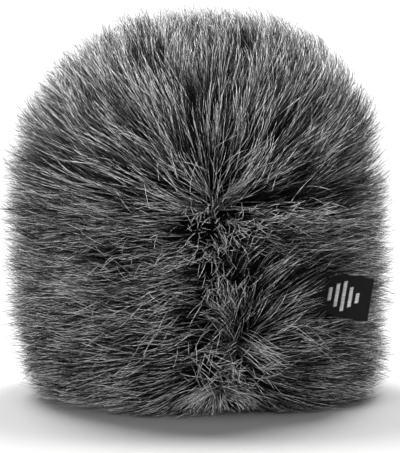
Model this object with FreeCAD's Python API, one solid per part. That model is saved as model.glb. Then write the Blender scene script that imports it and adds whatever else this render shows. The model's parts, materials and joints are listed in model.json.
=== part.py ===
"""Slip-on furry windscreen for a compact stereo microphone.

Three sewn panels of long-pile fur cloth (a domed crown and two half-round sides) cover a cup of
open-cell foam with a knitted lining. A stretch cloth ring closes the bottom round an elastic mouth
that grips the microphone. A folded woven label is tacked to the right panel and stands out
through the pile; it bends about its tacked edge.

Frame: millimetres, +Z up, origin at the centre of the base. The front is -Y and the front seam is
a little to the right of it. Every shell is a cylinder under a hemisphere, with one shared dome
centre. Azimuths are measured from the front towards +X.
"""

import FreeCAD, Part  # noqa: E401  FreeCAD has to be loaded before Part

import math
import os

# ---- driving dimensions, mm ----
DOME_Z = 51.0            # height of the centre of every hemisphere
PILE_R = 49.0            # outside of the pile, as it lies
BACKING_R = 33.0         # outside of the cloth that the pile is knitted into
BACKING_T = 1.4
FOAM_T = 4.7
LINING_T = 0.8
LAYER_GAP = 0.05         # between two layers that lie on each other

BASE_Z = 4.0             # underside of the cloth bottom; the pile and the binding reach down to 0
CORNER_R = 6.0           # bottom corner of the backing
FOOT_R = 42.0            # where the pile stands on a table
FOOT_RISE = 12.0         # height over which the pile swells from FOOT_R to PILE_R
CROWN_SEAM_Z = 55.0
FRONT_SEAM_AZIMUTH = 10.0
SEAM_GAP = 0.5

MOUTH_R = 19.0           # relaxed mouth
BINDING_T = 0.8          # one layer of the folded binding tape
BINDING_H = 8.0
CHANNEL_T = 1.4          # room between the two layers
FOLD_R = 1.0
BASE_PANEL_T = 1.2
ELASTIC_T = 1.2
ELASTIC_H = 6.0

THREAD_R = 0.2
STITCH_L = 2.4
STITCH_PITCH = 3.2
TACK_GAP = 0.3           # between a tack's end and the label, which turns past it

LABEL_L = 24.2           # from the tacked edge to the fold
LABEL_W = 11.0
LABEL_T = 0.9            # two layers
LABEL_BEND_R = 60.0
LABEL_START_DEG = -14.0  # heading at the tacked edge; minus leans away from the windscreen
LABEL_TILT_DEG = 9.5     # the free end hangs lower
LABEL_ROOT = FreeCAD.Vector(20.0, -28.3, 32.8)
LABEL_ROOM = 0.8         # clearance above and below it
LABEL_SWING_DEG = 50.0   # outward travel that the pile leaves room for
EMBLEM_AT = 17.5         # along the label, from the tacked edge
EMBLEM_BARS = (3.4, 6.0, 7.8, 5.2, 2.6)
EMBLEM_BAR_W = 1.0
EMBLEM_PITCH = 1.75
EMBLEM_T = 0.2

# ---- worked out from them ----
BACKING_IN = BACKING_R - BACKING_T
FOAM_OUT = BACKING_IN - LAYER_GAP
FOAM_IN = FOAM_OUT - FOAM_T
LINING_OUT = FOAM_IN - LAYER_GAP
LINING_IN = LINING_OUT - LINING_T
PILE_IN = BACKING_R + LAYER_GAP
CORNER_X = BACKING_R - CORNER_R          # radius at which the backing turns under
BINDING_OUT = MOUTH_R + 2 * BINDING_T + CHANNEL_T
FLOOR_Z = BASE_Z + BASE_PANEL_T

AXIS = FreeCAD.Vector(0, 0, 1)
ORIGIN = FreeCAD.Vector(0, 0, 0)
FULL_TURN = 360.0
HALF_TURN = 180.0
DIAGONAL = math.sqrt(0.5)


def at(r, z):
    """A point of a profile: distance from the axis, and height."""
    return FreeCAD.Vector(r, 0, z)


def line(a, b):
    return Part.LineSegment(a, b).toShape()


def arc(a, middle, b):
    return Part.Arc(a, middle, b).toShape()


def dome_arc(r, low_z=DOME_Z):
    """The hemisphere's profile from height low_z to the top."""
    low_deg = math.degrees(math.asin((low_z - DOME_Z) / r))
    middle = math.radians((low_deg + 90) / 2)
    low = math.radians(low_deg)
    return arc(
        at(r * math.cos(low), low_z),
        at(r * math.cos(middle), DOME_Z + r * math.sin(middle)),
        at(0, DOME_Z + r),
    )


def turned(edges, start_deg=0.0, sweep_deg=FULL_TURN):
    """The solid that a closed profile sweeps about the axis."""
    face = Part.Face(Part.Wire(Part.__sortEdges__(edges)))
    face.rotate(ORIGIN, AXIS, start_deg)
    return face.revolve(ORIGIN, AXIS, sweep_deg)


def box_ring(r_in, r_out, z_low, z_high):
    """A plain ring of rectangular section."""
    corners = [at(r_in, z_low), at(r_out, z_low), at(r_out, z_high), at(r_in, z_high)]
    return turned([line(corners[i], corners[(i + 1) % 4]) for i in range(4)])


def seam_angle(azimuth):
    """Azimuth from the front, as an angle from +X."""
    return azimuth - 90.0


FRONT_SEAM = seam_angle(FRONT_SEAM_AZIMUTH)
BACK_SEAM = FRONT_SEAM + HALF_TURN


def seam_slab(width):
    """A slab through the axis that parts the two side panels at the front and back seams."""
    reach = 2 * PILE_R
    slab = Part.makeBox(2 * reach, width, 2 * reach, FreeCAD.Vector(-reach, -width / 2, -reach / 2))
    slab.rotate(ORIGIN, AXIS, FRONT_SEAM)
    return slab


# ---- shells ----
def dome_shell(r_in, r_out, low_z):
    """The part of a hemispherical shell above low_z."""
    foot_in = math.sqrt(r_in**2 - (low_z - DOME_Z) ** 2)
    foot_out = math.sqrt(r_out**2 - (low_z - DOME_Z) ** 2)
    edges = [
        dome_arc(r_out, low_z),
        line(at(0, DOME_Z + r_out), at(0, DOME_Z + r_in)),
        dome_arc(r_in, low_z),
        line(at(foot_in, low_z), at(foot_out, low_z)),
    ]
    return turned(edges)


def short_dome_arc(r, high_z):
    """The hemisphere's profile from its equator up to height high_z."""
    high = math.asin((high_z - DOME_Z) / r)
    return arc(
        at(r, DOME_Z),
        at(r * math.cos(high / 2), DOME_Z + r * math.sin(high / 2)),
        at(r * math.cos(high), high_z),
    )


def corner_arc(radius):
    """The turned-under bottom corner, concentric with the backing's."""
    z = BASE_Z + CORNER_R
    return arc(
        at(CORNER_X + radius, z),
        at(CORNER_X + radius * DIAGONAL, z - radius * DIAGONAL),
        at(CORNER_X, z - radius),
    )


def side_backing(start_deg):
    """Half of the sides' backing cloth, from the turned-under base to the crown seam."""
    top_z = CROWN_SEAM_Z - SEAM_GAP / 2
    rise = top_z - DOME_Z
    corner_z = BASE_Z + CORNER_R
    edges = [
        line(at(CORNER_X, BASE_Z), at(CORNER_X, BASE_Z + BACKING_T)),
        corner_arc(CORNER_R - BACKING_T),
        line(at(BACKING_IN, corner_z), at(BACKING_IN, DOME_Z)),
        short_dome_arc(BACKING_IN, top_z),
        line(at(math.sqrt(BACKING_IN**2 - rise**2), top_z), at(math.sqrt(BACKING_R**2 - rise**2), top_z)),
        short_dome_arc(BACKING_R, top_z),
        line(at(BACKING_R, DOME_Z), at(BACKING_R, corner_z)),
        corner_arc(CORNER_R),
    ]
    return turned(edges, start_deg, HALF_TURN).cut(seam_slab(SEAM_GAP))


def side_pile(start_deg):
    """Half of the sides' pile, as the closed space that the fibres fill."""
    top_z = CROWN_SEAM_Z - SEAM_GAP / 2
    rise = top_z - DOME_Z
    corner_z = BASE_Z + CORNER_R
    swell = Part.Ellipse(at(FOOT_R, 2 * FOOT_RISE), at(PILE_R, FOOT_RISE), at(FOOT_R, FOOT_RISE))
    edges = [
        line(at(CORNER_X, BASE_Z - LAYER_GAP), at(CORNER_X, 0)),
        line(at(CORNER_X, 0), at(FOOT_R, 0)),
        Part.ArcOfEllipse(swell, math.pi / 2, math.pi).toShape(),
        line(at(PILE_R, FOOT_RISE), at(PILE_R, DOME_Z)),
        short_dome_arc(PILE_R, top_z),
        line(at(math.sqrt(PILE_R**2 - rise**2), top_z), at(math.sqrt(PILE_IN**2 - rise**2), top_z)),
        short_dome_arc(PILE_IN, top_z),
        line(at(PILE_IN, DOME_Z), at(PILE_IN, corner_z)),
        corner_arc(CORNER_R + LAYER_GAP),
    ]
    return turned(edges, start_deg, HALF_TURN).cut(seam_slab(SEAM_GAP))


def foam_sleeve():
    """Foam tube whose bottom outer corner follows the backing's."""
    corner = CORNER_R - BACKING_T - LAYER_GAP
    corner_z = BASE_Z + CORNER_R
    low_z = corner_z - corner
    edges = [
        line(at(FOAM_IN, DOME_Z), at(FOAM_IN, low_z)),
        line(at(FOAM_IN, low_z), at(CORNER_X, low_z)),
        corner_arc(corner),
        line(at(FOAM_OUT, corner_z), at(FOAM_OUT, DOME_Z)),
        line(at(FOAM_OUT, DOME_Z), at(FOAM_IN, DOME_Z)),
    ]
    return turned(edges)


# ---- mouth ----
def mouth_binding():
    """Tape folded into a U whose open side is up; its inner wall is the mouth."""
    outer = BINDING_OUT
    inner_leg = MOUTH_R + BINDING_T
    outer_leg = outer - BINDING_T
    turn = FOLD_R * (1 - DIAGONAL)
    edges = [
        line(at(MOUTH_R, BINDING_H), at(MOUTH_R, FOLD_R)),
        arc(at(MOUTH_R, FOLD_R), at(MOUTH_R + turn, turn), at(MOUTH_R + FOLD_R, 0)),
        line(at(MOUTH_R + FOLD_R, 0), at(outer - FOLD_R, 0)),
        arc(at(outer - FOLD_R, 0), at(outer - turn, turn), at(outer, FOLD_R)),
        line(at(outer, FOLD_R), at(outer, BINDING_H)),
        line(at(outer, BINDING_H), at(outer_leg, BINDING_H)),
        line(at(outer_leg, BINDING_H), at(outer_leg, BINDING_T)),
        line(at(outer_leg, BINDING_T), at(inner_leg, BINDING_T)),
        line(at(inner_leg, BINDING_T), at(inner_leg, BINDING_H)),
        line(at(inner_leg, BINDING_H), at(MOUTH_R, BINDING_H)),
    ]
    return turned(edges)


def mouth_elastic():
    """Flat elastic lying in the binding's channel."""
    slack = (CHANNEL_T - ELASTIC_T) / 2
    r_in = MOUTH_R + BINDING_T + slack
    z = BINDING_T + slack
    return box_ring(r_in, r_in + ELASTIC_T, z, z + ELASTIC_H)


# ---- threads: each is a group of separate stitches ----
def straight_stitch(start, direction, length):
    return Part.makeCylinder(THREAD_R, length, start, direction)


def vertical_stitches(angle_deg):
    """Stitches up a side seam, in the gap between the two backings."""
    angle = math.radians(angle_deg)
    r = BACKING_R - BACKING_T / 2
    low, high = BASE_Z + CORNER_R, DOME_Z - STITCH_PITCH
    count = int((high - low) / STITCH_PITCH) + 1
    return Part.makeCompound(
        [
            straight_stitch(
                FreeCAD.Vector(r * math.cos(angle), r * math.sin(angle), low + i * STITCH_PITCH),
                AXIS,
                STITCH_L,
            )
            for i in range(count)
        ]
    )


def ring_stitches(r, z):
    """Stitches round a horizontal seam, each a short arc of thread."""
    count = int(2 * math.pi * r / STITCH_PITCH)
    sweep = FULL_TURN * STITCH_L / (2 * math.pi * r)
    stitches = []
    for i in range(count):
        circle = Part.Circle(at(r, z), FreeCAD.Vector(0, 1, 0), THREAD_R)
        face = Part.Face(Part.Wire(circle.toShape()))
        face.rotate(ORIGIN, AXIS, i * FULL_TURN / count)
        stitches.append(face.revolve(ORIGIN, AXIS, sweep))
    return Part.makeCompound(stitches)


def binding_stitches():
    """Stitches that close the binding above the elastic, each across the channel."""
    count = 36
    r = MOUTH_R + BINDING_T + LAYER_GAP
    z = BINDING_H - 2 * THREAD_R
    stitches = []
    for i in range(count):
        angle = 2 * math.pi * i / count
        outward = FreeCAD.Vector(math.cos(angle), math.sin(angle), 0)
        start = FreeCAD.Vector(r * outward.x, r * outward.y, z)
        stitches.append(straight_stitch(start, outward, CHANNEL_T - 2 * LAYER_GAP))
    return Part.makeCompound(stitches)


# ---- label, first in its own frame: +X along it from the tacked edge, +Z up, -Y outward ----
def label_point(heading_deg, off=0.0):
    """The point of the label's bend where it heads heading_deg; off is towards its outer face."""
    start = math.radians(LABEL_START_DEG)
    heading = math.radians(heading_deg)
    return FreeCAD.Vector(
        -LABEL_BEND_R * math.sin(start) + (LABEL_BEND_R + off) * math.sin(heading),
        LABEL_BEND_R * math.cos(start) - (LABEL_BEND_R + off) * math.cos(heading),
        0,
    )


def label_heading(along):
    """Heading in degrees at a length along the label."""
    return LABEL_START_DEG + math.degrees(along / LABEL_BEND_R)


def in_place(shape):
    """A shape of the label's own frame, moved to where the label is tacked on."""
    shape.rotate(ORIGIN, FreeCAD.Vector(0, 1, 0), LABEL_TILT_DEG)
    shape.translate(LABEL_ROOT)
    return shape


def woven_label():
    """Tape folded double, with its fold at the free end."""
    half = LABEL_T / 2
    start, end = LABEL_START_DEG, label_heading(LABEL_L)
    middle = (start + end) / 2
    tip = label_heading(LABEL_L + half)
    edges = [
        arc(label_point(start, half), label_point(middle, half), label_point(end, half)),
        arc(label_point(end, half), label_point(tip), label_point(end, -half)),
        arc(label_point(end, -half), label_point(middle, -half), label_point(start, -half)),
        line(label_point(start, -half), label_point(start, half)),
    ]
    face = Part.Face(Part.Wire(edges))
    face.translate(FreeCAD.Vector(0, 0, -LABEL_W / 2))
    return in_place(face.extrude(FreeCAD.Vector(0, 0, LABEL_W)))


def label_emblem():
    """Generic motif of upright bars, woven raised on the outer face."""
    bars = []
    first = EMBLEM_AT - EMBLEM_PITCH * (len(EMBLEM_BARS) - 1) / 2
    for i, height in enumerate(EMBLEM_BARS):
        heading = label_heading(first + i * EMBLEM_PITCH)
        bar = Part.makeBox(
            EMBLEM_BAR_W, EMBLEM_T, height, FreeCAD.Vector(-EMBLEM_BAR_W / 2, -EMBLEM_T, -height / 2)
        )
        bar.rotate(ORIGIN, AXIS, heading)
        bar.translate(label_point(heading, LABEL_T / 2 + LAYER_GAP))
        bars.append(in_place(bar))
    return Part.makeCompound(bars)


def label_tack_thread():
    """Tacking stitches that run from the backing to just short of the label's edge."""
    count = 5
    step = (LABEL_W - 2 * THREAD_R) / count
    start_r = BACKING_R + LAYER_GAP
    tacks = []
    for i in range(count):
        along_edge = (i - (count - 1) / 2) * step
        tilt = math.radians(LABEL_TILT_DEG)
        end = LABEL_ROOT + FreeCAD.Vector(along_edge * math.sin(tilt), 0, along_edge * math.cos(tilt))
        end_r = math.hypot(end.x, end.y)
        outward = FreeCAD.Vector(end.x, end.y, 0).normalize()
        start = FreeCAD.Vector(start_r * outward.x, start_r * outward.y, end.z)
        tacks.append(straight_stitch(start, outward, end_r - start_r - LABEL_T / 2 - TACK_GAP))
    return Part.makeCompound(tacks)


def label_slot():
    """The gap in the pile that the label stands in and swings through."""
    reach = LABEL_L + 2.0
    side = 2.2
    far = math.radians(LABEL_START_DEG - LABEL_SWING_DEG - 8.0)
    corners = [
        FreeCAD.Vector(-side, side, 0),
        FreeCAD.Vector(reach, side + reach * math.tan(math.radians(4.0)), 0),
        FreeCAD.Vector(reach, -reach / 2, 0),
        FreeCAD.Vector(reach * math.cos(math.radians(50)), -reach, 0),
        FreeCAD.Vector(reach * math.cos(far), reach * math.sin(far), 0),
        FreeCAD.Vector(-side, -side, 0),
    ]
    face = Part.Face(Part.makePolygon(corners + corners[:1]))
    height = LABEL_W + 2 * LABEL_ROOM
    face.translate(FreeCAD.Vector(0, 0, -height / 2))
    return in_place(face.extrude(FreeCAD.Vector(0, 0, height)))


def parts():
    """Every node's name and shape."""
    seam_top = CROWN_SEAM_Z + SEAM_GAP / 2
    thread_r = math.sqrt((BACKING_R - BACKING_T / 2) ** 2 - (CROWN_SEAM_Z - DOME_Z) ** 2)
    return {
        "crown_pile": dome_shell(PILE_IN, PILE_R, seam_top),
        "crown_backing": dome_shell(BACKING_IN, BACKING_R, seam_top),
        "right_side_pile": side_pile(FRONT_SEAM).cut(label_slot()),
        "right_side_backing": side_backing(FRONT_SEAM),
        "left_side_pile": side_pile(BACK_SEAM),
        "left_side_backing": side_backing(BACK_SEAM),
        "foam_cap": dome_shell(FOAM_IN, FOAM_OUT, DOME_Z + LAYER_GAP),
        "foam_sleeve": foam_sleeve(),
        "lining_cap": dome_shell(LINING_IN, LINING_OUT, DOME_Z + LAYER_GAP),
        "lining_sleeve": box_ring(LINING_IN, LINING_OUT, FLOOR_Z + LAYER_GAP, DOME_Z),
        "base_panel": box_ring(BINDING_OUT + LAYER_GAP, CORNER_X - SEAM_GAP, BASE_Z, FLOOR_Z),
        "mouth_binding": mouth_binding(),
        "mouth_elastic": mouth_elastic(),
        "front_seam_thread": vertical_stitches(FRONT_SEAM),
        "back_seam_thread": vertical_stitches(BACK_SEAM),
        "crown_seam_thread": ring_stitches(thread_r, CROWN_SEAM_Z),
        "base_seam_thread": ring_stitches(CORNER_X - SEAM_GAP / 2, BASE_Z + BACKING_T / 2),
        "binding_stitches": binding_stitches(),
        "woven_label": woven_label(),
        "label_emblem": label_emblem(),
        "label_tack_thread": label_tack_thread(),
    }


os.makedirs("parts", exist_ok=True)
for name, shape in parts().items():
    for solid in shape.Solids:
        assert solid.isValid() and solid.Volume > 0, name
    shape.exportStep(f"parts/{name}.step")
    print(name, len(shape.Solids), "solids", round(shape.Volume, 1), "mm3")
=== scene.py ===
import json
import math

import bmesh
import bpy
import numpy as np
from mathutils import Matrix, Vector


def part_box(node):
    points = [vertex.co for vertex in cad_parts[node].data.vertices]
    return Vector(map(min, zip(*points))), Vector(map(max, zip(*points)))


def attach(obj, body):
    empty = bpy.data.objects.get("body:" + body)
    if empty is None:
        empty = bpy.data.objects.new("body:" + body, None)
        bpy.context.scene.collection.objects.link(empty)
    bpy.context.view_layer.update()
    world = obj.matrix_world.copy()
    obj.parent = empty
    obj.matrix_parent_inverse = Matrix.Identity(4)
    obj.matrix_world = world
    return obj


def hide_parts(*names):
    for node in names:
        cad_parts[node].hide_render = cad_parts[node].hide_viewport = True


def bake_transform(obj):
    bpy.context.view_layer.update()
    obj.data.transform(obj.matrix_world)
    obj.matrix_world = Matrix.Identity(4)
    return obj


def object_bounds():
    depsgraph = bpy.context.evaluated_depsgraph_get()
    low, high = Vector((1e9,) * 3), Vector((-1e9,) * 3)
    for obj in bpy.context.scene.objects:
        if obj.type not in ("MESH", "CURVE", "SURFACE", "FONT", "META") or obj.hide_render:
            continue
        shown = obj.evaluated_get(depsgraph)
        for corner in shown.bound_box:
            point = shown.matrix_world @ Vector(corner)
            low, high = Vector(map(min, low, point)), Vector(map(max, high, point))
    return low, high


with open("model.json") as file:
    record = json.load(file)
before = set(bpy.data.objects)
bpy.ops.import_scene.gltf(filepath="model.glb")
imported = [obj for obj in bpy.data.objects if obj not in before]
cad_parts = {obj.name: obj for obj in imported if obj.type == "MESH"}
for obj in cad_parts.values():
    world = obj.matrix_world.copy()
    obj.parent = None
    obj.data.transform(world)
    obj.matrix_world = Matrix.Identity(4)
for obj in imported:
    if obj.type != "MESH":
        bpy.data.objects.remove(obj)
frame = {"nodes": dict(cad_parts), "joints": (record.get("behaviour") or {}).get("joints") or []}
cad_box = [list(corner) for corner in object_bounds()]


def low_z(node):
    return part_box(node)[0][2]


def high_z(node):
    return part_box(node)[1][2]


def outer_r(node):
    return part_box(node)[1][0]


# ---- sizes, metres, worked out from the frame ----
MM = 0.001
PILE_R = cad_box[1][0]  # outside of the pile
DOME_Z = cad_box[1][2] - PILE_R  # shared centre of the domes
BACKING_R = high_z("crown_backing") - DOME_Z
BACKING_LOW = low_z("left_side_backing")  # underside of the turned-under cloth
SEAM_Z = (low_z("crown_backing") + high_z("left_side_backing")) / 2
SEAM_AZIMUTH = math.radians(10.0)  # front seam, from -Y towards +X
CORNER_R = 6.0 * MM  # backing's bottom corner
FOOT_R = 42.0 * MM  # where the pile stands
FOOT_RISE = 12.0 * MM  # height over which the pile swells to PILE_R
MOUTH_R = 19.0 * MM
MOUTH_CLEAR_R = MOUTH_R + 5.0 * MM  # no fibre under the base comes nearer the axis

# ---- label, in its own frame: along it from the tacked edge, up its width, and off its outer face ----
HINGE = frame["joints"][0]
LABEL_ROOT = np.array(HINGE["pos_m"])
LABEL_UP = -np.array(HINGE["axis"])
LABEL_OUT = np.array([0.0, -1.0, 0.0])
LABEL_ALONG = np.cross(LABEL_UP, LABEL_OUT)
LABEL_L = 24.2 * MM
LABEL_W = 11.0 * MM
LABEL_BEND_R = 60.0 * MM
LABEL_START = math.radians(-14.0)  # heading at the tacked edge
TAPE_T = 0.36 * MM
TAPE_APART = 0.25 * MM  # of each layer's middle from the label's
EMBLEM_AT = 17.5 * MM
EMBLEM_BARS = (3.4, 6.0, 7.8, 5.2, 2.6)  # heights, mm
EMBLEM_BAR_W = 1.0 * MM
EMBLEM_PITCH = 1.75 * MM

# ---- inner layers ----
BACKING_T = 1.4 * MM
LINING_T = 0.8 * MM
BINDING_T = 0.8 * MM
LAYER_GAP = 0.05 * MM

# ---- fur ----
SEED = 7
CLUMP_SPACING = 1.85 * MM
SEAM_BARE = 0.9 * MM  # bare cloth each side of the front and back seams
STRANDS_PER_CLUMP = 23
GUARD_SHARE = 0.78  # long hairs; the rest is undercoat
RINGS = 6
STRAND_L = 23.5 * MM
ROOT_LEAN = math.radians(15.0)  # from the cloth's normal
TIP_LEAN = math.radians(70.0)
DRIFT = 0.10  # how fast a fibre takes the local lie, per step
STRAND_FLATNESS = 0.7  # of a fibre's section
WILD_SHARE, WILD_TIMES = 0.06, 2.6  # hairs that leave their clump, and how much further
FLOOR_CLEAR = 0.2 * MM  # lowest that a fibre's middle line lies
STRANDS_PER_PIECE = 5800  # keeps a piece under 200 000 triangles
SHADE_COLUMNS = 128

rng = np.random.default_rng(SEED)


def unit(v):
    return v / np.maximum(np.linalg.norm(v, axis=-1, keepdims=True), 1e-12)


def flatten(v, n):
    """v less its part along n."""
    return v - np.sum(v * n, axis=-1, keepdims=True) * n


def corner_sizes(k):
    """The bottom corner of the pile's inner surface k: its ellipse's half axes and middle, and its bottom."""
    wide = CORNER_R + (PILE_R - FOOT_R - CORNER_R) * k
    tall = CORNER_R + (FOOT_RISE - CORNER_R) * k
    low = BACKING_LOW * (1 - k)
    return wide, tall, BACKING_R + (PILE_R - BACKING_R) * k - wide, low + tall, low


def on_shell(p, k, k_from=None):
    """Moves points onto the pile's inner surface k, from 0 at the cloth to 1 outside; also gives the normals.
    k_from is the surface that they come from."""
    shell_r = BACKING_R + (PILE_R - BACKING_R) * k
    r = np.hypot(p[..., 0], p[..., 1])
    east = np.stack([p[..., 0], p[..., 1]], -1) / np.maximum(r, 1e-9)[..., None]

    from_centre = p - np.array([0, 0, DOME_Z])
    dome_n = unit(from_centre)
    dome_p = dome_n * shell_r[..., None] + np.array([0, 0, DOME_Z])

    side_n = np.concatenate([east, np.zeros_like(r)[..., None]], -1)
    side_p = np.concatenate([east * shell_r[..., None], p[..., 2:]], -1)

    wide, tall, old_r, old_z, _ = corner_sizes(k if k_from is None else k_from)
    x, z = (r - old_r) / wide, (p[..., 2] - old_z) / tall
    corner = (z < 0)[..., None]
    phi = np.arctan2(np.minimum(z, 0), np.maximum(x, 0))
    under = x < 0
    wide, tall, mid_r, mid_z, low = corner_sizes(k)
    corner_r = np.where(under, np.maximum(mid_r + r - old_r, MOUTH_CLEAR_R), mid_r + wide * np.cos(phi))
    corner_z = np.where(under, low, mid_z + tall * np.sin(phi))
    n_r = np.where(under, 0, np.cos(phi) / wide)
    n_z = np.where(under, -1 / tall, np.sin(phi) / tall)
    corner_p = np.concatenate([east * corner_r[..., None], corner_z[..., None]], -1)
    corner_n = unit(np.concatenate([east * n_r[..., None], n_z[..., None]], -1))

    dome = (p[..., 2] > DOME_Z)[..., None]
    where = np.where(dome, dome_p, np.where(corner, corner_p, side_p))
    normal = np.where(dome, dome_n, np.where(corner, corner_n, side_n))
    return where, normal


class Waves:
    """Smooth noise: a few plane waves of random direction. About -1 to 1."""

    def __init__(self, wavelength, count=7):
        direction = unit(rng.normal(size=(count, 3)))
        length = wavelength * rng.uniform(0.7, 1.6, count)
        self.k = direction * (2 * math.pi / length)[:, None]
        self.phase = rng.uniform(0, 2 * math.pi, count)

    def __call__(self, p):
        return np.sin(p @ self.k.T + self.phase).sum(-1) / math.sqrt(len(self.phase))


def at_front(x, z, k=0.8):
    """The point of the pile's front at x and z."""
    guess = np.array([x, -math.sqrt(max(PILE_R**2 - x**2, 0)), z])
    return on_shell(guess, np.array(k))[0]


# Middles of the dome's two fuller stretches.
RIGHT_SHOULDER = np.array([0.5, 0.0, 0.7]) * PILE_R + np.array([0, 0, DOME_Z])
LEFT_SHOULDER = np.array([-0.9, 0.0, 0.25]) * PILE_R + np.array([0, 0, DOME_Z])

# The front parting, down the seam: the fibres turn away from it on both sides, and all round its ends.
# The last two points carry it along the crown seam.
# Each point is x and z in millimetres, and how hard it parts the left side's and the right side's pile.
PARTING = [
    (4.2, 56, 1.2, 1.2), (6, 49, 0.45, 0.05), (7.5, 42, 0.45, 0), (9, 35, 0.45, 0),
    (11.5, 26, 0.5, 0.1), (13.5, 18, 0.8, 1.5), (10, 12, 0.5, 0.6), (6.5, 7.5, 0.8, 0.8),
    (18, 55, 0, 0.25), (30, 54, 0, 0.2),
]
WHORLS = np.array([at_front(x * MM, z * MM) for x, z, left, right in PARTING])
PULL_LEFT = np.array([left for x, z, left, right in PARTING])
PULL_RIGHT = np.array([right for x, z, left, right in PARTING])
WHORL_EYE = 3.0 * MM  # inside it a whorl pulls no harder
FAN_MIDDLE = at_front(6.0 * MM, 5.0 * MM, 0.5)
FAN_REACH = 9.0 * MM
SIDEWAYS_TOP = SEAM_Z + 2.0 * MM  # below it the pile takes to lying sideways
SIDEWAYS_BLEND = 10.0 * MM
CROWN_STRIP_Z = 66.0 * MM  # the strip of the crown that is combed straight back
CROWN_STRIP_BLEND = 16.0 * MM
CROWN_STRIP_HALF_W = 24.0 * MM
swirl = Waves(26 * MM)
ripple = Waves(9 * MM)
locks = Waves(5 * MM)
tousle = Waves(8 * MM)


def lie_turn(p):
    """How far the local lie turns from the combed way, in radians."""
    return 0.25 * swirl(p) + 0.26 * ripple(p)


def past_seam(p):
    """Sine of the azimuth past the front seam: above 0 on the right side."""
    return np.sin(np.arctan2(p[..., 0], -p[..., 1]) - SEAM_AZIMUTH)


def seam_side(p):
    """From 0 left of the front seam to 1 right of it, turning over about 3 mm."""
    return 0.5 + 0.5 * np.tanh(past_seam(p) * PILE_R / (3 * MM))


def flow(p, n):
    """The way the fibres lie: away from the parting in front, and turning downwards behind."""
    v = p[..., None, :] - WHORLS
    tangent = flatten(v, n[..., None, :])
    far = np.linalg.norm(v, axis=-1)
    right = seam_side(p)[..., None]
    weight = (PULL_LEFT * (1 - right) + PULL_RIGHT * right) / (far**2 + WHORL_EYE**2) ** 0.9
    away = (unit(tangent) * weight[..., None]).sum(-2) / weight.sum(-1)[..., None]
    # Below the crown seam the pile is combed sideways, except in the small fan at the foot.
    low = np.clip((SIDEWAYS_TOP - p[..., 2]) / SIDEWAYS_BLEND, 0, 1)
    fan = np.exp(-np.sum((p - FAN_MIDDLE) ** 2, -1) / FAN_REACH**2)
    comb = 1 - 0.85 * low * (1 - fan)
    away[..., 2] *= np.where(away[..., 2] < 0, comb, 1)
    # The middle of the crown is combed straight up and over.
    high = np.clip((p[..., 2] - CROWN_STRIP_Z) / CROWN_STRIP_BLEND, 0, 1)
    strip = high * np.exp(-((p[..., 0] / CROWN_STRIP_HALF_W) ** 2))
    away[..., 2] += 0.8 * strip * (p[..., 1] < 0)
    down = flatten(np.array([0.0, 0.0, -1.0]), n)
    behind = np.clip((p[..., 1:2] / PILE_R + 0.1) / 0.9, 0, 1)
    return unit(flatten(away, n) + behind * down * 1.2)


def turn(v, n, angle):
    """v turned about n."""
    side = np.cross(n, v)
    return v * np.cos(angle)[..., None] + side * np.sin(angle)[..., None]


def clump_roots():
    """Evenly spread points on the backing, by area, on a jittered spiral."""
    corner_l = CORNER_R * math.pi / 2
    side_l = DOME_Z - BACKING_LOW - CORNER_R
    dome_l = BACKING_R * math.pi / 2
    s = np.linspace(0, corner_l + side_l + dome_l, 4000)
    bend = np.clip(s / CORNER_R, 0, math.pi / 2)
    rise = np.clip(s - corner_l, 0, side_l)
    up = np.clip((s - corner_l - side_l) / BACKING_R, 0, math.pi / 2)
    r = BACKING_R - CORNER_R + CORNER_R * np.sin(bend)
    r = np.where(up > 0, BACKING_R * np.cos(up), r)
    z = BACKING_LOW + CORNER_R * (1 - np.cos(bend)) + rise + BACKING_R * np.sin(up)
    area = np.concatenate([[0], np.cumsum(2 * math.pi * (r[1:] + r[:-1]) / 2 * np.diff(s))])
    count = int(area[-1] / CLUMP_SPACING**2)
    share = (np.arange(count) + 0.5) / count
    turns = math.pi * (3 - math.sqrt(5)) * np.arange(count)  # by the golden angle
    root_r, root_z = np.interp(share, area / area[-1], r), np.interp(share, area / area[-1], z)
    p = np.stack([root_r * np.cos(turns), root_r * np.sin(turns), root_z], -1)
    p += rng.normal(scale=0.3 * CLUMP_SPACING, size=p.shape)
    return on_shell(p, np.zeros(count))


def at_seam(p):
    """Points on the cloth that a side seam has turned in, so that no pile shows there."""
    return (np.abs(past_seam(p)) * BACKING_R < SEAM_BARE) & (p[:, 2] < SEAM_Z)


def rise_share(t):
    """How much of its height a leaning strand has gained at t of its length."""
    lean = ROOT_LEAN + (TIP_LEAN - ROOT_LEAN) * t
    return (np.sin(lean) - math.sin(ROOT_LEAN)) / (math.sin(TIP_LEAN) - math.sin(ROOT_LEAN))


def guides(root, length, height, twist):
    """The middle line of each clump, as RINGS points with normals and ways. Fibres are springy, so a line
    keeps most of its own way as it goes, and only drifts towards the local lie."""
    p, n = root, on_shell(root, np.zeros(len(root)))[1]
    steps_per_ring = 3
    steps = (RINGS - 1) * steps_per_ring
    way = turn(flow(p, n), n, twist + lie_turn(p))
    points, normals, ways = [p], [n], [way]
    for i in range(1, steps + 1):
        t = i / steps
        lean = ROOT_LEAN + (TIP_LEAN - ROOT_LEAN) * (t - 0.5 / steps)
        way = flatten(way, n)
        lie = turn(flow(p, n), n, twist + lie_turn(p))
        way = unit(way * (1 - DRIFT) + lie * DRIFT)
        p = p + way * (length * math.sin(lean) / steps)[:, None]
        p, n = on_shell(p, height * rise_share(t), height * rise_share(t - 1 / steps))
        if i % steps_per_ring == 0:
            points.append(p)
            normals.append(n)
            ways.append(way)
    return np.stack(points, 1), np.stack(normals, 1), np.stack(ways, 1)


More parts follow.
